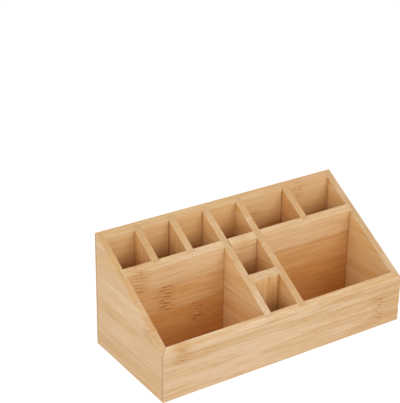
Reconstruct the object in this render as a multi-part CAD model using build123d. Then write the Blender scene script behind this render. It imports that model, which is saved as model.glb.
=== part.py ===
"""Sloped bamboo desk organizer: four mitred walls, a rabbeted bottom and an egg-crate of dividers.

Frame: +X to the right, +Y to the back, +Z up, origin on the table under the middle of the
footprint. All sizes are in millimetres. Every board is one solid in its own file.
"""
import os

from build123d import *

# ---------------------------------------------------------------- driving sizes
overall_width = 300.0        # left face to right face
overall_depth = 131.0        # front face to back face
back_height = 130.0          # back face, up to the sloping top plane
front_height = 52.5          # front face, up to the sloping top plane
board = 8.0                  # thickness of every wall and divider
bottom_board = 3.0           # thickness of the bottom
bottom_recess = 1.0          # table to the underside of the bottom

small_cell_width = 33.7      # clear width of the four small rear cells and the centre column
rear_row_depth = 34.0        # clear depth of the rear row

wall_housing = 4.0           # depth of the divider housings in the walls
divider_housing = 3.0        # depth of the housings in the dividers
bottom_rabbet = 4.0          # depth of the bottom's rabbet in the walls

outer_round = 0.5            # eased outside arrises of the walls
inner_round = 0.25           # sanded top arrises inside the walls and on the dividers

# ---------------------------------------------------------------- clearances
mitre_glue_line = 0.14       # between the two faces of a corner mitre
side_play = 0.12             # each side of a board in its housing
end_play = 0.3               # end of a board to the floor of its housing
lap_play = 0.12              # each side of a long divider in its half-lap slot
slack_lap_play = 0.8         # the one slack side, right of the left long divider
lap_end_play = 0.3           # between the floors of two half-lap slots
bottom_end_play = 0.3        # edge of the bottom to the side of its rabbet
bottom_face_play = 0.1       # glue line over the bottom, under the shoulder of its rabbet

# ---------------------------------------------------------------- places worked out
over = 1.0                   # how far a cutter runs past what it cuts
same_direction = 1.0         # degrees between two directions that count as one
mitre_turn = 45.0            # degrees from a wall to the cut of its mitre
kerf_length = 4 * board      # enough to cross a corner on its diagonal

left_face = -overall_width / 2
right_face = overall_width / 2
front_face = -overall_depth / 2
back_face = overall_depth / 2
inner_left = left_face + board
inner_right = right_face - board
inner_front = front_face + board
inner_back = back_face - board

floor_top = bottom_recess + bottom_board
clear_above = back_height + over

cross_back = inner_back - rear_row_depth
cross_front = cross_back - board

rear_left_x = inner_left + small_cell_width
rear_middle_x = rear_left_x + board + small_cell_width
left_long_x = rear_middle_x + board + small_cell_width
right_long_x = left_long_x + board + small_cell_width
wide_cell_width = (inner_right - right_long_x - 2 * board) / 2
rear_right_x = right_long_x + board + wide_cell_width

centre_cell_depth = (cross_front - inner_front - board) / 2
centre_front = inner_front + centre_cell_depth


def top_at(y):
    """Height of the sloping top plane at depth y."""
    return front_height + (y - front_face) * (back_height - front_height) / overall_depth


lap_height = (floor_top + top_at((cross_front + cross_back) / 2)) / 2
top_normal = Vector(0, front_height - back_height, overall_depth)
up_the_slope = Axis((0, 0, 0), (0, overall_depth, back_height - front_height))


# ---------------------------------------------------------------- shapes that repeat
def block(x_from, x_to, y_from, y_to, z_from, z_to):
    """Box between two corners."""
    size = (x_to - x_from, y_to - y_from, z_to - z_from)
    return Pos(x_from, y_from, z_from) * Box(*size, align=(Align.MIN, Align.MIN, Align.MIN))


def sloped_block(x_from, x_to, y_from, y_to, z_from):
    """Block whose top is planed to the sloping top plane."""
    outline = Polyline(
        (y_from, z_from),
        (y_to, z_from),
        (y_to, top_at(y_to)),
        (y_from, top_at(y_from)),
        close=True,
    )
    profile = Plane.YZ * make_face(outline)
    return Pos(x_from, 0, 0) * extrude(profile, x_to - x_from)


def is_sloping(face):
    """True for a face that lies along the sloping top plane."""
    return face.normal_at().get_angle(top_normal) < same_direction


def top_edges(solid, axis):
    """Straight edges of the sloping top face that run along an axis."""
    return solid.faces().filter_by(is_sloping).edges().filter_by(axis)


def eased(solid, axis):
    """The two top arrises that run along a divider, rounded."""
    return fillet(top_edges(solid, axis), inner_round)


# ---------------------------------------------------------------- walls
def housings():
    """Grooves in the walls for the ends of the dividers, open at the top."""
    cross_ends = block(
        inner_left - wall_housing,
        inner_right + wall_housing,
        cross_front - side_play,
        cross_back + side_play,
        floor_top,
        clear_above,
    )
    cutters = [cross_ends]
    for x in (rear_left_x, rear_middle_x, left_long_x, right_long_x, rear_right_x):
        runs_full_depth = x in (left_long_x, right_long_x)
        y_from = inner_front - wall_housing if runs_full_depth else inner_front
        y_to = inner_back + wall_housing
        slot = block(x - side_play, x + board + side_play, y_from, y_to, floor_top, clear_above)
        cutters.append(slot)
    return cutters


def bottom_opening():
    """Rabbet round the inside of the four walls for the bottom, open downwards."""
    return block(
        inner_left - bottom_rabbet,
        inner_right + bottom_rabbet,
        inner_front - bottom_rabbet,
        inner_back + bottom_rabbet,
        -over,
        floor_top + bottom_face_play,
    )


def mitre_kerf(x, y, turn):
    """Thin upright slab on the diagonal of a corner, one glue line thick."""
    slab = Box(
        kerf_length,
        mitre_glue_line,
        clear_above + over,
        align=(Align.CENTER, Align.CENTER, Align.MIN),
    )
    return Pos(x, y, -over) * Rot(0, 0, turn) * slab


def rim_edges(ring):
    """Top edges round the inside of the ring of walls."""
    found = []
    for edge in top_edges(ring, Axis.X) + top_edges(ring, up_the_slope):
        middle = edge @ 0.5
        inside_x = abs(middle.X) < inner_right + over / 2
        inside_y = abs(middle.Y) < inner_back + over / 2
        if inside_x and inside_y:
            found.append(edge)
    return found


def walls():
    """The four walls: one ring, rounded, planed to the slope, grooved and parted at its mitres."""
    ring = fillet(sloped_block(left_face, right_face, front_face, back_face, 0).edges(), outer_round)
    ring -= block(inner_left, inner_right, inner_front, inner_back, -over, clear_above)
    ring = fillet(rim_edges(ring), inner_round)
    ring -= bottom_opening()
    for cutter in housings():
        ring -= cutter
    ring -= mitre_kerf(left_face, front_face, mitre_turn)
    ring -= mitre_kerf(right_face, back_face, mitre_turn)
    ring -= mitre_kerf(right_face, front_face, -mitre_turn)
    ring -= mitre_kerf(left_face, back_face, -mitre_turn)
    across = ring.solids().sort_by(Axis.X)
    along = ring.solids().sort_by(Axis.Y)
    return {
        "left_side_panel": across[0],
        "right_side_panel": across[-1],
        "front_panel": along[0],
        "back_panel": along[-1],
    }


def bottom_panel():
    """Plain board glued up into the rabbet of the walls, a little above the table."""
    reach = bottom_rabbet - bottom_end_play
    return block(
        inner_left - reach,
        inner_right + reach,
        inner_front - reach,
        inner_back + reach,
        bottom_recess,
        floor_top,
    )


# ---------------------------------------------------------------- dividers
def cross_divider():
    """Board between the side walls that fronts the rear row, slotted for the long dividers."""
    reach = wall_housing - end_play
    body = sloped_block(inner_left - reach, inner_right + reach, cross_front, cross_back, floor_top)
    body = eased(body, Axis.X)
    for x, right_play in ((left_long_x, slack_lap_play), (right_long_x, lap_play)):
        body -= block(
            x - lap_play,
            x + board + right_play,
            cross_front - over,
            cross_back + over,
            lap_height,
            clear_above,
        )
    for x in (rear_left_x, rear_middle_x, rear_right_x):
        body -= block(
            x - side_play,
            x + board + side_play,
            cross_back - divider_housing,
            cross_back + over,
            floor_top - over,
            clear_above,
        )
    return body


def long_divider(x, centre_side):
    """Board from the front wall to the back wall, notched from below to straddle the cross."""
    reach = wall_housing - end_play
    body = sloped_block(x, x + board, inner_front - reach, inner_back + reach, floor_top)
    body = eased(body, up_the_slope)
    body -= block(
        x - over,
        x + board + over,
        cross_front - lap_play,
        cross_back + lap_play,
        floor_top - over,
        lap_height + lap_end_play,
    )
    housing_from = x + board - divider_housing if centre_side > 0 else x - over
    body -= block(
        housing_from,
        housing_from + divider_housing + over,
        centre_front - side_play,
        centre_front + board + side_play,
        floor_top - over,
        clear_above,
    )
    return body


def rear_divider(x):
    """Short board between the cross divider and the back wall."""
    y_from = cross_back - divider_housing + end_play
    y_to = inner_back + wall_housing - end_play
    return eased(sloped_block(x, x + board, y_from, y_to, floor_top), up_the_slope)


def centre_divider():
    """Short board between the long dividers that parts the centre column in two."""
    reach = divider_housing - end_play
    x_from = left_long_x + board - reach
    x_to = right_long_x + reach
    body = sloped_block(x_from, x_to, centre_front, centre_front + board, floor_top)
    return eased(body, Axis.X)


# ---------------------------------------------------------------- the whole organizer
def boards():
    """Every board under the name of its file."""
    parts = walls()
    parts["bottom_panel"] = bottom_panel()
    parts["cross_divider"] = cross_divider()
    parts["left_long_divider"] = long_divider(left_long_x, centre_side=1)
    parts["right_long_divider"] = long_divider(right_long_x, centre_side=-1)
    parts["centre_divider"] = centre_divider()
    parts["rear_left_divider"] = rear_divider(rear_left_x)
    parts["rear_middle_divider"] = rear_divider(rear_middle_x)
    parts["rear_right_divider"] = rear_divider(rear_right_x)
    return parts


os.makedirs("parts", exist_ok=True)
for name, shape in boards().items():
    export_step(shape, f"parts/{name}.step")
    print(name, round(shape.volume), "mm3")
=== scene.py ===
"""The looks of a sloped bamboo desk organizer: twelve glued boards of bamboo on a white studio floor.

Blender's lengths are in metres. The grain of the boards is worked out in millimetres, and so the places in
BOARDS and all values with a name that ends in _MM are in millimetres.
"""
import math
from dataclasses import dataclass

import bpy
from mathutils import Matrix, Vector


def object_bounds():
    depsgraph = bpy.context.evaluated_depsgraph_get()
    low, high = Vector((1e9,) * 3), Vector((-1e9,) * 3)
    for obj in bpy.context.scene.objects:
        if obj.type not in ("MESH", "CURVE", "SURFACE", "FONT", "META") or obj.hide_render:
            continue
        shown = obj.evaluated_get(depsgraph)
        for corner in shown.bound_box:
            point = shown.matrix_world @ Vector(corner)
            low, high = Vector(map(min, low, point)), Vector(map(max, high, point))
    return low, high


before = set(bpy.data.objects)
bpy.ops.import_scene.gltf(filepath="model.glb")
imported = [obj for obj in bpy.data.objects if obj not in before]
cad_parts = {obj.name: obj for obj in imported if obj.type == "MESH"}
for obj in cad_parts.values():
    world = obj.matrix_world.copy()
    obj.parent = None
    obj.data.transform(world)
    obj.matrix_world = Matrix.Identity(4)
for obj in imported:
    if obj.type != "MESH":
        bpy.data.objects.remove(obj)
cad_low, cad_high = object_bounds()

MM_PER_METRE = 1000.0

# The camera: where it stands, the point it looks at, its lens and sensor, its tilt to one side, and
# how far it sees.
CAMERA_PLACE = Vector((-0.7012, -0.9565, 0.7185))
CAMERA_AIM = Vector((0.0608, 0.1919, 0.0602))
CAMERA_LENS_MM = 115.11
CAMERA_SENSOR_MM = 36.0
CAMERA_ROLL = math.radians(0.765)
CAMERA_FAR_LIMIT = 20.0

# The studio: how bright its sky is, where 1 is as bright as white, and how bright the background
# looks. Each softbox has a direction round from the front (degrees), a height (degrees), a
# distance, a size and a level.
SKY_LEVEL = 0.54
WHITE_LEVEL = 1.0
SOFTBOXES = {
    "front": (0, 16, 1.55, (1.4, 0.8), 1.85),
    "left": (-90, 35, 1.6, (1.0, 1.0), 2.2),
    "front_right": (45, 35, 1.6, (1.0, 1.0), 2.0),
}
STUDIO_CENTRE = Vector((0, 0, 0.05))

# The floor: half its size, how far it lies under the organizer, the light it gives back, and what
# it gives back and glows with instead where the camera sees it, so that it looks white but still
# shows a shadow.
FLOOR_HALF = 6.0
FLOOR_DROP = 0.0002
FLOOR_GREY = 0.8
SEEN_FLOOR_GREY = 0.45
SEEN_FLOOR_GLOW = 0.75

# The colours of the bamboo, as they look in plain light (sRGB, 0 to 255).
PALE = (232, 199, 156)
DEEP = (209, 161, 103)
YELLOW = (222, 178, 112)
PINK = (229, 184, 146)
SEAM_BROWN = (152, 84, 28)
# The brown of the glue lines and of the painted shade in the inner corners.
GLUE_AND_SHADE_BROWN = (116, 64, 26)

# What the light off the bamboo is multiplied by, as shares of red, green and blue: the gold of the
# inside, partly the wood's tone and partly painted shade; the stain; the dashes; and the painted
# light and sheen on the sloping top.
GOLD_AND_SHADE_TINT = (1.0, 0.78, 0.47)
STAIN_TINT = (0.9, 0.78, 0.6)
DASH_TINT = (0.64, 0.50, 0.31)
TOP_PAINTED_LIGHT_TINT = (0.99, 1.01, 1.05)

# Where the mottle turns yellow and pink: its level where that begins and where it is full, and how
# strong it is.
YELLOW_PATCHES = (0.35, 0.75, 0.3)
PINK_PATCHES = (0.5, 0.2, 0.2)

# The wood's surface: its roughness, what the fibres add to that and how much they stand out, and
# its gloss.
ROUGHNESS = 0.38
FIBRE_ROUGHNESS = 0.2
BUMP_STRENGTH = 0.25
BUMP_HEIGHT = 0.0002
GLOSS = 0.8

# The scale of the grain, how far the fibres wander, and how much fainter the grain is where it is
# cut across.
FIBRE_WIDTH_MM = 0.9
FIBRE_LENGTH_MM = 14.0
STREAK_WIDTH_MM = 2.8
STREAK_LENGTH_MM = 55.0
MOTTLE_WIDTH_MM = 11.0
MOTTLE_LENGTH_MM = 120.0
WAVE_MM = 1.2
END_GRAIN_CONTRAST = 0.5

# The detail and the roughness of the noise in the fibres, in the streaks and in all that is softer,
# and the level of noise that changes nothing. Each board and each strip takes its noise from
# further on than the last.
FIBRE_NOISE = (3.0, 0.6)
STREAK_NOISE = (3.0, 0.55)
SOFT_NOISE = (1.0, 0.5)
NOISE_MIDDLE = 0.5
BOARD_SHIFT_MM = 173.0
STRIP_SHIFT_MM = 31.0

# The lines of glue in the seams and the mitres, the lines of glue and painted shade in the inner
# corners, and the share of a line's width that is all dark. Seams are broken up by the streaks. A
# mitre's line is shifted onto the side wall, and fainter over the top.
LINE_CORE = 0.3
SEAM_HALF_MM = 0.45
SEAM_BREAKS = (0.35, 0.65)
MITRE_HALF_MM = 1.0
MITRE_SHIFT_MM = 1.9
MITRE_SHARE = 0.65
MITRE_TOP_SHARE = 0.15
GLUE_AND_SHADE_HALF_MM = 0.6
GLUE_AND_SHADE_DEPTH_MM = 1.0

# How softly one strip's tone and its gold, partly painted shade, give way to the next, and where a
# wall's outside begins and how softly.
SEAM_SOFT_MM = 0.05
GOLD_AND_SHADE_SOFT_MM = 6.0
WALL_HALF_MM = 4.0
OUTSIDE_FADE_MM = 1.0

# The scale of a knuckle: from one dash in it to the next, how far the dashes wander, lean over and
# end raggedly, the share of it that is full of them, how far it keeps from the seams, and the stain
# round it.
ROW_MM = 3.7
ROW_WANDER_MM = 4.0
FLECK_SLANT = 0.12
EDGE_MM = 3.0
SCAR_CORE = 0.4
STRIP_EDGE_MM = 0.8
STAIN_HALF_MM = 16.0

# How much the rows and the specks each count for in a knuckle, the levels from which a dash starts
# to where it is full, dark or pale, how strong the pale ones and those on the sloping top are, and
# how deep the dark ones.
ROW_SHARE = 0.5
SPECK_SHARE = 1.5
DARK_LEVELS = (0.1, 0.6)
PALE_LEVELS = (-0.1, -0.6)
PALE_DASHES = 0.45
TOP_DASHES = 0.4
DASH_DEPTH = 0.6

# How squarely a surface has to face up the slope to begin to count as the top and to be it, how
# squarely it may at most face one side of its board to be an arris, from hardly to fully, and how
# pale arrises are, partly by wear and partly by painted highlight.
TOP_LEVELS = (0.9, 0.97)
ARRIS_LEVELS = (0.998, 0.97)
ARRIS_WEAR_AND_HIGHLIGHT = 0.35

AXES = "XYZ"

# The way the sloping top faces, and a distance that is beyond the edge of any board.
TOP_NORMAL = Vector((0, -0.5092, 0.8607))
FAR_MM = 1000.0


@dataclass
class Knuckle:
    """The scar of a cane's joint across one strip: where it is along the board, its strip, and its looks.

    It is a ladder of short dark dashes along the fibres, which reach half_width to both sides of the place.
    Dashes shorter than that come from a small fleck, and a wider, softer stain lies round them all.
    """

    along: float
    strip: int
    strength: float = 0.6
    half_width: float = 6.5
    stain: float = 0.35
    fleck: float = 6.5


@dataclass
class Board:
    """How one board was cut, in millimetres.

    Its fibres run along grain, and its glued strips lie side by side along width, parted by seams.
    Tones says how deep each strip's colour is, and drift what is added to it from the middle of the
    board to its end. Light says how much red, green and blue the upright faces give back next to
    other bamboo, partly the board's own tone and partly painted light and shade. How golden they are,
    strip by strip if need be, is partly the wood's tone and partly painted shade from light bouncing
    between the boards. Outer_light is the same as light for the outside of a wall, which has no bamboo
    beside it, so the inside and the outside of a wall are painted in different light. Top says how much
    deeper the sloping top is, at the low end of the grain, in its middle and at its high end, and a
    level of its own says how much painted light and sheen the top gets. Contrast is how strong the
    fibres, the streaks and the mottles are. Seam_share is how dark the seams are. A list gives the
    places along the board where glue and painted shade darken an inner corner, with how much, and
    another value says where the darkened face lies.
    """

    grain: str
    width: str
    seams: tuple = ()
    tones: tuple = (0.45,)
    knuckles: tuple = ()
    seam_share: float = 0.35
    contrast: tuple = (0.8, 1.5, 0.7)
    drift: float = 0.0
    light: tuple = (1.0, 1.0, 1.0)
    gold_and_painted_shade: tuple = (0.0,)
    outer_light: tuple = (1.0, 0.96, 0.92)
    top: tuple = (0.0, 0.0, 0.0)
    top_painted_light: float = 0.97
    glue_and_shade: tuple = ()
    glue_and_shade_face: float = 0.0


BOARDS = {
    "front_panel": Board(
        "X", "Z", (10.3, 38.7), (0.25, 0.3, 0.4),
        (Knuckle(122, 1, 0.75, 4.5, 0.55, 2.2), Knuckle(-127, 2, 0.55, 6.0, 1.0)),
        contrast=(1.6, 2.5, 1.5), drift=0.6, light=(0.92, 0.95, 0.95), gold_and_painted_shade=(0.3,),
        outer_light=(0.89, 0.875, 0.88), top=(0.05, 0.1, -0.1),
    ),
    "back_panel": Board(
        "X", "Z", (24, 56, 87, 108), (0.5, 0.4, 0.55, 0.38, 0.55),
        (Knuckle(41, 3, 0.5), Knuckle(101, 4, 0.4, 7.0, 0.5, 3.0), Knuckle(-80, 1), Knuckle(20, 2)),
        # Its drift pales the right end: painted light against the shade in the cells on the right.
        seam_share=0.15, contrast=(0.7, 1.2, 0.6), drift=-0.2, light=(0.99, 1.0, 0.98),
        gold_and_painted_shade=(0.9, 0.9, 0.88, 0.65, 0.25),
        top=(0.3, 0.15, 0.8),
        glue_and_shade=((-66.9, 0.8), (-25.2, 0.8), (79.1, 0.9), (-108.6, 0.25)), glue_and_shade_face=57.5,
    ),
    "left_side_panel": Board(
        "Y", "Z", (26, 56, 85, 115), (0.62, 0.45, 0.4, 0.5, 0.5),
        (Knuckle(-39, 2, 0.5, 7.0, 0.9),),
        contrast=(0.6, 1.4, 1.0), gold_and_painted_shade=(0.3,), outer_light=(1.01, 0.983, 0.936),
        top=(0.5, 0.5, 0.85),
    ),
    "right_side_panel": Board(
        "Y", "Z", (22, 51, 80, 109), (0.4, 0.5, 0.42, 0.7, 0.45), seam_share=0.2, contrast=(0.35, 1.0, 1.3),
        light=(1.14, 1.2, 1.16), gold_and_painted_shade=(0.08, 0.08, 0.08, 0.33, 0.25),
        top=(0.45, 0.27, 0.2), top_painted_light=0.865,
    ),
    "bottom_panel": Board(
        "X", "Y", (-36, -8, 21, 48), (0.5, 0.4, 0.55, 0.45, 0.5),
        (Knuckle(-70, 1), Knuckle(55, 2), Knuckle(110, 3)), gold_and_painted_shade=(0.8,),
    ),
    "cross_divider": Board(
        "X", "Z", (20, 47, 76), (0.4, 0.55, 0.62, 0.22),
        (
            Knuckle(-58, 1, 1.0, 7.0), Knuckle(-97, 2, 1.0, 8.5, 1.0), Knuckle(-127, 3, 0.7, 9.0, 0.85),
            Knuckle(0, 3, 0.0, stain=0.6), Knuckle(0, 2, 0.0, stain=0.6),
        ),
        seam_share=0.5, contrast=(1.3, 2.1, 1.0), drift=0.25, light=(0.94, 0.94, 0.94),
        gold_and_painted_shade=(0.95, 1.0, 0.58, 0.25),
        top=(0.4, 0.25, 0.25), glue_and_shade=((-25.3, 0.25), (16.4, 0.45), (141.4, 0.4)), glue_and_shade_face=15.5,
    ),
    "left_long_divider": Board(
        "Y", "Z", (33, 56, 91), (0.45, 0.55, 0.44, 0.5),
        contrast=(0.35, 1.5, 1.3), light=(1.14, 1.19, 1.16), gold_and_painted_shade=(0.13, 0.13, 0.13, 0.33),
        top=(0.1, 0.3, 0.3), top_painted_light=0.93,
    ),
    "right_long_divider": Board(
        "Y", "Z", (29, 66, 79, 97), (0.45, 0.2, 0.75, 0.45, 0.5), (Knuckle(-34, 2, 0.0, stain=0.25),),
        contrast=(0.4, 1.9, 1.8), light=(1.04, 1.06, 1.045), gold_and_painted_shade=(0.5, 0.45, 0.65, 0.5, 0.5),
        top=(1.7, 0.5, 0.3), top_painted_light=0.93,
    ),
    "centre_divider": Board(
        "Z", "X", (-6,), (0.45, 0.5), contrast=(2.8, 3.2, 0.8), light=(0.95, 0.97, 0.955), gold_and_painted_shade=(0.55,),
        top=(0.1, 0.1, 0.1), top_painted_light=0.9, glue_and_shade=((16.4, 0.4),), glue_and_shade_face=-25.0,
    ),
    "rear_left_divider": Board(
        "Z", "Y", (40,), (0.5, 0.45), contrast=(1.6, 2.2, 0.7), light=(1.04, 1.05, 1.05), gold_and_painted_shade=(0.62,),
        top=(0.85, 0.85, 0.85), top_painted_light=0.92,
    ),
    "rear_middle_divider": Board(
        "Z", "Y", (36,), (0.45, 0.5), contrast=(1.6, 2.2, 0.7), light=(1.0, 1.025, 1.01), gold_and_painted_shade=(0.6,),
        top=(0.4, 0.4, 0.4), top_painted_light=0.95,
    ),
    "rear_right_divider": Board(
        "Z", "Y", (42,), (0.5, 0.55), contrast=(1.6, 2.2, 0.7), light=(1.01, 1.01, 1.0), gold_and_painted_shade=(0.8,),
        top=(0.75, 0.75, 0.75), top_painted_light=0.92,
    ),
}

MITRED = ("front_panel", "back_panel", "left_side_panel", "right_side_panel")


def linear(colour):
    """The light of an sRGB colour of 0 to 255, as a shader takes it."""
    shares = [part / 255 for part in colour]
    curve = [s / 12.92 if s <= 0.04045 else ((s + 0.055) / 1.055) ** 2.4 for s in shares]
    return (*curve, 1.0)


def grey(level):
    """A colour that gives back the same share of red, green and blue."""
    return level, level, level, 1.0


class Graph:
    """The nodes of one shader tree, and the links between them."""

    def __init__(self, tree):
        self.tree = tree
        tree.nodes.clear()

    def feed(self, socket, value):
        """Links a socket to another node's output, or sets it to a plain value."""
        if isinstance(value, bpy.types.NodeSocket):
            self.tree.links.new(value, socket)
        else:
            socket.default_value = value

    def add(self, kind, settings=None, inputs=None):
        """A new node of a kind, with its settings and inputs by name."""
        node = self.tree.nodes.new("ShaderNode" + kind)
        for name, value in (settings or {}).items():
            setattr(node, name, value)
        for name, value in (inputs or {}).items():
            self.feed(node.inputs[name], value)
        return node

    def math(self, operation, *values):
        """One sum on up to three numbers."""
        node = self.add("Math", {"operation": operation})
        for socket, value in zip(node.inputs, values):
            self.feed(socket, value)
        return node.outputs[0]

    def times(self, *values):
        """The product of several numbers."""
        product = values[0]
        for value in values[1:]:
            product = self.math("MULTIPLY", product, value)
        return product

    def vector(self, *parts):
        """Three numbers as one vector."""
        node = self.add("CombineXYZ")
        for socket, value in zip(node.inputs, parts):
            self.feed(socket, value)
        return node.outputs[0]

    def parts(self, vector):
        """The X, Y and Z of a vector, by name."""
        return self.add("SeparateXYZ", inputs={"Vector": vector}).outputs

    def step(self, value, low, high):
        """0 where value is under low, 1 where it is over high, and smooth between them.

        It falls from 1 to 0 instead where low is over high.
        """
        falls = low > high
        limits = {"From Min": min(low, high), "From Max": max(low, high)}
        results = {"To Min": float(falls), "To Max": float(not falls)}
        return self.add(
            "MapRange", {"interpolation_type": "SMOOTHSTEP"}, {"Value": value, **limits, **results}
        ).outputs["Result"]

    def noise(self, vector, detail, roughness):
        """Even noise from 0 to 1, with features one unit across."""
        inputs = {"Vector": vector, "Scale": 1.0, "Detail": detail, "Roughness": roughness}
        return self.add("TexNoise", {"noise_dimensions": "3D"}, inputs).outputs[0]

    def mix(self, share, first, second, blend="MIX"):
        """The first colour, turning into its blend with the second as share goes from 0 to 1."""
        node = self.add("Mix", {"data_type": "RGBA", "clamp_factor": True, "blend_type": blend})
        sockets = {socket.identifier: socket for socket in node.inputs}
        self.feed(sockets["Factor_Float"], share)
        self.feed(sockets["A_Color"], first)
        self.feed(sockets["B_Color"], second)
        return node.outputs[2]


@dataclass
class Place:
    """Where a point lies in a board, in millimetres: along its fibres, across its strips and through it."""

    along: object
    across: object
    through: object


def position_mm(graph):
    """The point's place in the frame, in millimetres, by axis."""
    parts = graph.parts(graph.add("TexCoord").outputs["Object"])
    return {axis: graph.math("MULTIPLY", parts[axis], MM_PER_METRE) for axis in AXES}


def place_in(board, point):
    """The point's place in the board."""
    through = (set(AXES) - {board.grain, board.width}).pop()
    return Place(point[board.grain], point[board.width], point[through])


def strongest(graph, masks):
    """The strongest of several masks at each point."""
    result = masks[0]
    for mask in masks[1:]:
        result = graph.math("MAXIMUM", result, mask)
    return result


def line_at(graph, value, centre, half):
    """1 on a line where value is centre, fading to 0 at half its width from there."""
    distance = graph.math("ABSOLUTE", graph.math("SUBTRACT", value, float(centre)))
    return graph.step(distance, half, LINE_CORE * half)


def by_strip(graph, board, place, values, soft=SEAM_SOFT_MM):
    """One value for each strip, which changes at every seam, over soft millimetres to each side of it."""
    result = values[0]
    for seam, before, after in zip(board.seams, values, values[1:]):
        passed = graph.step(place.across, seam - soft, seam + soft)
        result = graph.math("MULTIPLY_ADD", passed, after - before, result)
    return result


def grain_noise(graph, place, layer, length, width, kind):
    """Noise of a kind, drawn out along the fibres: length along them and width across, in millimetres."""
    vector = graph.vector(
        graph.math("MULTIPLY", place.along, 1 / length),
        graph.math("MULTIPLY", place.across, 1 / width),
        graph.math("MULTIPLY", layer, 1 / width),
    )
    return graph.noise(vector, *kind)


def wavy(graph, place, layer):
    """The same place, with fibres that wander slightly across the strip as they run along it."""
    bend = grain_noise(graph, place, layer, STREAK_LENGTH_MM, MOTTLE_WIDTH_MM, SOFT_NOISE)
    offset = graph.math("MULTIPLY", graph.math("SUBTRACT", bend, NOISE_MIDDLE), 2 * WAVE_MM)
    return Place(place.along, graph.math("ADD", place.across, offset), place.through)


def strip_edges(board, strip):
    """The lowest and highest place across the board that a strip covers."""
    edges = (-FAR_MM, *board.seams, FAR_MM)
    return edges[strip], edges[strip + 1]


def knuckle_masks(graph, board, place, layer, knuckle):
    """The dark flecks of one knuckle, the pale ones between them, and the stain round them."""
    low, high = strip_edges(board, knuckle.strip)
    over_low = graph.step(place.across, low, low + STRIP_EDGE_MM)
    under_high = graph.step(place.across, high, high - STRIP_EDGE_MM)
    in_strip = graph.times(over_low, under_high)
    offset = graph.math("SUBTRACT", place.along, float(knuckle.along))
    slanted = Place(place.along, graph.math("MULTIPLY_ADD", offset, FLECK_SLANT, place.across), place.through)
    specks = grain_noise(graph, slanted, layer, knuckle.fleck, ROW_MM, SOFT_NOISE)
    fleck = graph.math("SUBTRACT", specks, NOISE_MIDDLE)
    across = graph.math("MULTIPLY_ADD", fleck, ROW_WANDER_MM, slanted.across)
    row = graph.math("SINE", graph.math("MULTIPLY", across, 2 * math.pi / ROW_MM))
    level = graph.math("MULTIPLY_ADD", row, ROW_SHARE, graph.math("MULTIPLY", fleck, SPECK_SHARE))
    ragged = grain_noise(graph, slanted, layer, STREAK_LENGTH_MM, 0.5 * ROW_MM, SOFT_NOISE)
    moved = graph.math("MULTIPLY_ADD", graph.math("SUBTRACT", ragged, NOISE_MIDDLE), 2 * EDGE_MM, offset)
    distance = graph.math("ABSOLUTE", moved)
    reach = graph.step(distance, knuckle.half_width + EDGE_MM, SCAR_CORE * knuckle.half_width)
    scar = graph.times(reach, in_strip)
    dark = graph.times(graph.step(level, *DARK_LEVELS), scar, knuckle.strength)
    pale = graph.times(graph.step(level, *PALE_LEVELS), scar, knuckle.strength)
    stain = graph.times(graph.step(distance, STAIN_HALF_MM, 0.0), in_strip, knuckle.stain)
    return dark, pale, stain


def sloping_top(graph, parts):
    """1 on the sloping top of a board, and 0 on its upright faces."""
    along_slope = graph.math("MULTIPLY", parts["Z"], TOP_NORMAL.z)
    squarely = graph.math("MULTIPLY_ADD", parts["Y"], TOP_NORMAL.y, along_slope)
    return graph.step(squarely, *TOP_LEVELS)


def outside(graph, point):
    """1 in the outer half of the walls, and 0 in the inner half and in all the other boards."""
    masks = []
    for axis, half in zip("XY", cad_high):
        middle = half * MM_PER_METRE - WALL_HALF_MM
        masks.append(graph.step(graph.math("ABSOLUTE", point[axis]), middle, middle + OUTSIDE_FADE_MM))
    return strongest(graph, masks)


def arris(graph, parts, top):
    """1 on the eased edges, whose surface faces between the faces of the board."""
    squarely = strongest(graph, [top, *(graph.math("ABSOLUTE", parts[axis]) for axis in AXES)])
    return graph.step(squarely, *ARRIS_LEVELS)


def mitre_line(graph, point, top):
    """The glue line of the four mitres, which run in from the outside corners at 45 degrees.

    It is fainter over the top. Down the corners it is dark, and spread a little onto the side walls.
    """
    half_width, half_depth = cad_high[0] * MM_PER_METRE, cad_high[1] * MM_PER_METRE
    from_side = graph.math("SUBTRACT", half_width, graph.math("ABSOLUTE", point["X"]))
    from_end = graph.math("SUBTRACT", half_depth, graph.math("ABSOLUTE", point["Y"]))
    spread = graph.math("MULTIPLY_ADD", top, -MITRE_SHIFT_MM, MITRE_SHIFT_MM)
    beside = graph.math("ADD", graph.math("SUBTRACT", from_side, from_end), spread)
    share = graph.math("MULTIPLY_ADD", top, MITRE_TOP_SHARE - MITRE_SHARE, MITRE_SHARE)
    return graph.times(line_at(graph, beside, 0, MITRE_HALF_MM), share)


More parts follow.
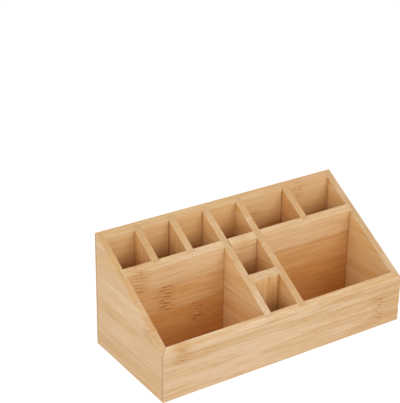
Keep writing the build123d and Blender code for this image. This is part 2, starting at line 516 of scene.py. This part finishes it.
def bamboo_colour(graph, board, point, place, layer, top):
    """The colour of a board's strips, with their streaks and painted light and shade, before its knuckles and
    its lines of glue and painted shade.
    """
    fibres = grain_noise(graph, place, layer, FIBRE_LENGTH_MM, FIBRE_WIDTH_MM, FIBRE_NOISE)
    streaks = grain_noise(graph, place, layer, STREAK_LENGTH_MM, STREAK_WIDTH_MM, STREAK_NOISE)
    mottle = grain_noise(graph, place, layer, MOTTLE_LENGTH_MM, MOTTLE_WIDTH_MM, SOFT_NOISE)
    tone = by_strip(graph, board, place, board.tones)
    end_grain = graph.math("MULTIPLY_ADD", top, END_GRAIN_CONTRAST - 1, 1.0) if board.grain == "Z" else 1.0
    for mask, weight in zip((fibres, streaks, mottle), board.contrast):
        swing = graph.times(graph.math("SUBTRACT", mask, NOISE_MIDDLE), end_grain, weight)
        tone = graph.math("ADD", tone, swing)
    half = cad_high[AXES.index(board.grain)] * MM_PER_METRE
    tone = graph.math("MULTIPLY_ADD", graph.step(place.along, 0.0, half), board.drift, tone)
    start, middle, end = board.top
    added = graph.math("MULTIPLY_ADD", graph.step(place.along, 0.0, -half), start - middle, middle)
    added = graph.math("MULTIPLY_ADD", graph.step(place.along, 0.0, half), end - middle, added)
    tone = graph.math("ADD", tone, graph.math("MULTIPLY", added, top))
    colour = graph.mix(tone, linear(PALE), linear(DEEP))
    for shade, (begins, full, share) in ((YELLOW, YELLOW_PATCHES), (PINK, PINK_PATCHES)):
        colour = graph.mix(graph.times(graph.step(mottle, begins, full), share), colour, linear(shade))
    # The colour is multiplied by painted light and shade: inside, by the board's light and its gold, partly
    # the wood's tone and partly painted shade; on the outside of a wall, by a level of its own; and on the
    # sloping top, by painted light and sheen.
    plain = (*board.light, 1.0)
    gold_and_painted_shade = (*(light * tint for light, tint in zip(board.light, GOLD_AND_SHADE_TINT)), 1.0)
    tint = graph.mix(by_strip(graph, board, place, board.gold_and_painted_shade, GOLD_AND_SHADE_SOFT_MM), plain, gold_and_painted_shade)
    tint = graph.mix(outside(graph, point), tint, (*board.outer_light, 1.0))
    tint = graph.mix(top, tint, (*(board.top_painted_light * part for part in TOP_PAINTED_LIGHT_TINT), 1.0))
    return graph.mix(1.0, colour, tint, "MULTIPLY"), fibres, streaks


def bamboo(name, board, number):
    """The finished bamboo of one board."""
    material = bpy.data.materials.new("bamboo_" + name)
    material.use_nodes = True
    graph = Graph(material.node_tree)
    point = position_mm(graph)
    normal = graph.parts(graph.add("TexCoord").outputs["Normal"])
    top = sloping_top(graph, normal)
    straight = place_in(board, point)
    shifts = [number * BOARD_SHIFT_MM + strip * STRIP_SHIFT_MM for strip in range(len(board.tones))]
    layer = graph.math("ADD", straight.through, by_strip(graph, board, straight, shifts))
    place = wavy(graph, straight, layer)
    colour, fibres, streaks = bamboo_colour(graph, board, point, place, layer, top)

    relief = fibres
    if board.knuckles:
        masks = zip(*[knuckle_masks(graph, board, place, layer, knuckle) for knuckle in board.knuckles])
        dark, pale, stain = [strongest(graph, mask) for mask in masks]
        dark = graph.times(dark, graph.math("MULTIPLY_ADD", top, TOP_DASHES - 1, 1.0))
        colour = graph.mix(stain, colour, (*STAIN_TINT, 1.0), "MULTIPLY")
        colour = graph.mix(graph.math("MULTIPLY", pale, PALE_DASHES), colour, linear(PALE))
        colour = graph.mix(dark, colour, (*DASH_TINT, 1.0), "MULTIPLY")
        relief = graph.math("MULTIPLY_ADD", dark, -DASH_DEPTH, fibres)
    if board.seams:
        lines = [line_at(graph, straight.across, seam, SEAM_HALF_MM) for seam in board.seams]
        broken = graph.times(strongest(graph, lines), graph.step(streaks, *SEAM_BREAKS), board.seam_share)
        colour = graph.mix(broken, colour, linear(SEAM_BROWN))
    # Lines of glue and painted shade in the inner corners, where the dividers meet this board's face.
    if board.glue_and_shade:
        near = graph.step(graph.math("SUBTRACT", straight.through, board.glue_and_shade_face), GLUE_AND_SHADE_DEPTH_MM, 0.0)
        lines = [graph.times(line_at(graph, point["X"], x, GLUE_AND_SHADE_HALF_MM), share) for x, share in board.glue_and_shade]
        colour = graph.mix(graph.times(strongest(graph, lines), near), colour, linear(GLUE_AND_SHADE_BROWN))
    if name in MITRED:
        colour = graph.mix(mitre_line(graph, point, top), colour, linear(SEAM_BROWN))
    # The arrises made paler: partly wear, partly a painted highlight.
    colour = graph.mix(graph.times(arris(graph, normal, top), ARRIS_WEAR_AND_HIGHLIGHT), colour, linear(PALE))

    bump = graph.add("Bump", inputs={"Height": relief, "Strength": BUMP_STRENGTH, "Distance": BUMP_HEIGHT})
    shader = graph.add("BsdfPrincipled", inputs={
        "Base Color": colour,
        "Roughness": graph.math("MULTIPLY_ADD", fibres, FIBRE_ROUGHNESS, ROUGHNESS),
        "Normal": bump.outputs["Normal"],
        "Specular IOR Level": GLOSS,
    })
    output = graph.add("OutputMaterial")
    graph.feed(output.inputs["Surface"], shader.outputs["BSDF"])
    return material


def dress_boards():
    """Gives every board of the frame its own bamboo."""
    for number, (name, board) in enumerate(BOARDS.items()):
        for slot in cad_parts[name].material_slots:
            slot.material = bamboo(name, board, number)


def seen_directly(graph):
    """1 for what the camera sees, also in gloss or through glass, and 0 for the light on things."""
    path = graph.add("LightPath").outputs
    return strongest(graph, [path["Is Camera Ray"], path["Is Glossy Ray"], path["Is Transmission Ray"]])


def look_two_ways(graph, output, lit, seen):
    """Makes a shader one thing for the light that falls on it or comes from it, and another for the eye."""
    surface = graph.add("MixShader")
    graph.feed(surface.inputs[0], seen_directly(graph))
    graph.feed(surface.inputs[1], lit.outputs[0])
    graph.feed(surface.inputs[2], seen.outputs[0])
    graph.feed(graph.add(output).inputs["Surface"], surface.outputs[0])


def floor_material():
    """A pale floor that looks white to the camera where nothing shades it."""
    material = bpy.data.materials.new("studio_floor")
    material.use_nodes = True
    graph = Graph(material.node_tree)
    diffuse = graph.add("BsdfDiffuse", inputs={"Color": grey(FLOOR_GREY)})
    shaded = graph.add("BsdfDiffuse", inputs={"Color": grey(SEEN_FLOOR_GREY)})
    glow = graph.add("Emission", inputs={"Color": grey(1.0), "Strength": SEEN_FLOOR_GLOW})
    white = graph.add("AddShader")
    graph.feed(white.inputs[0], shaded.outputs[0])
    graph.feed(white.inputs[1], glow.outputs[0])
    look_two_ways(graph, "OutputMaterial", diffuse, white)
    return material


def make_floor():
    """The floor that the organizer stands on."""
    half = FLOOR_HALF
    corners = [(-half, -half, 0), (half, -half, 0), (half, half, 0), (-half, half, 0)]
    mesh = bpy.data.meshes.new("floor")
    mesh.from_pydata(corners, [], [(0, 1, 2, 3)])
    mesh.materials.append(floor_material())
    floor = bpy.data.objects.new("floor", mesh)
    floor.location.z = -FLOOR_DROP
    bpy.context.scene.collection.objects.link(floor)


def make_sky():
    """Soft white light from all round, and a white background."""
    world = bpy.data.worlds.new("studio")
    world.use_nodes = True
    graph = Graph(world.node_tree)
    light = graph.add("Background", inputs={"Color": grey(1.0), "Strength": SKY_LEVEL})
    white = graph.add("Background", inputs={"Color": grey(1.0), "Strength": WHITE_LEVEL})
    look_two_ways(graph, "OutputWorld", light, white)
    bpy.context.scene.world = world


def make_softboxes():
    """The big soft lamps that stand round the organizer and face it."""
    for name, (round_from_front, height, distance, (width, depth), level) in SOFTBOXES.items():
        turn, rise = math.radians(round_from_front), math.radians(height)
        outward = Vector((math.sin(turn) * math.cos(rise), -math.cos(turn) * math.cos(rise), math.sin(rise)))
        lamp = bpy.data.lights.new("softbox_" + name, "AREA")
        lamp.shape = "RECTANGLE"
        lamp.size, lamp.size_y = width, depth
        lamp.energy = level * math.pi * width * depth
        softbox = bpy.data.objects.new("softbox_" + name, lamp)
        softbox.location = STUDIO_CENTRE + distance * outward
        softbox.rotation_euler = outward.to_track_quat("Z", "Y").to_euler()
        bpy.context.scene.collection.objects.link(softbox)


def make_camera():
    """The camera at the photograph's place and angle."""
    data = bpy.data.cameras.new("camera")
    data.lens = CAMERA_LENS_MM
    data.sensor_width = CAMERA_SENSOR_MM
    data.sensor_fit = "AUTO"
    data.clip_end = CAMERA_FAR_LIMIT
    camera = bpy.data.objects.new("camera", data)
    turn = (CAMERA_AIM - CAMERA_PLACE).to_track_quat("-Z", "Y").to_matrix().to_4x4()
    camera.matrix_world = Matrix.Translation(CAMERA_PLACE) @ turn @ Matrix.Rotation(CAMERA_ROLL, 4, "Z")
    bpy.context.scene.collection.objects.link(camera)
    bpy.context.scene.camera = camera


dress_boards()
make_floor()
make_sky()
make_softboxes()
make_camera()
bpy.context.scene.view_settings.view_transform = "Standard"
